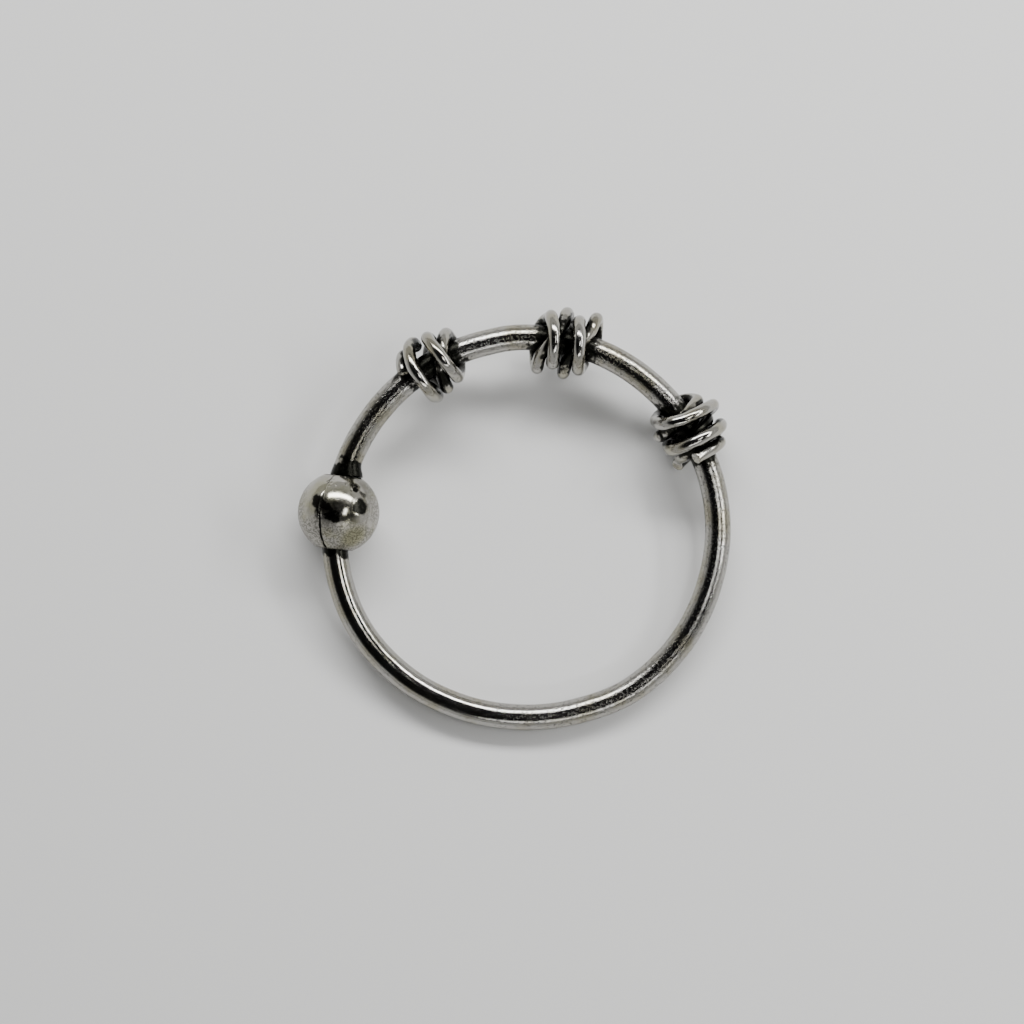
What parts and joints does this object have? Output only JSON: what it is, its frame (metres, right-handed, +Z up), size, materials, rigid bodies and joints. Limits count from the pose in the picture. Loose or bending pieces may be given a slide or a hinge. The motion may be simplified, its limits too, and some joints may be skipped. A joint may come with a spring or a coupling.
{
  "type": "nose ring",
  "caption": "Round silver wire hoop for a nose piercing, closed by a seamed hollow bead and dressed with wire knots along its upper side.",
  "frame": {"origin": "middle of the ring's footprint, on the surface that it lies on", "axes": "+Z up from that surface and about 7 degrees off the hoop's front; +X across the hoop, away from the bead; +Y across the hoop, towards the middle knot"},
  "size_m": [0.013, 0.0126, 0.003],
  "materials": {
    "hoop_silver": "oxidised sterling silver wire, polished on its high sides and dark grey in its pits",
    "bead_silver": "oxidised sterling silver, bright above and finely pitted below, with a little yellow-green tarnish and black round its holes",
    "knot_silver": "oxidised sterling silver wire, bright on its outer side and black between its turns"
  },
  "bodies": {
    "root": {"hoop_wire": "hoop_silver", "closing_bead": "bead_silver", "knot_left": "knot_silver", "knot_top": "knot_silver", "knot_right": "knot_silver"}
  },
  "joints": []
}
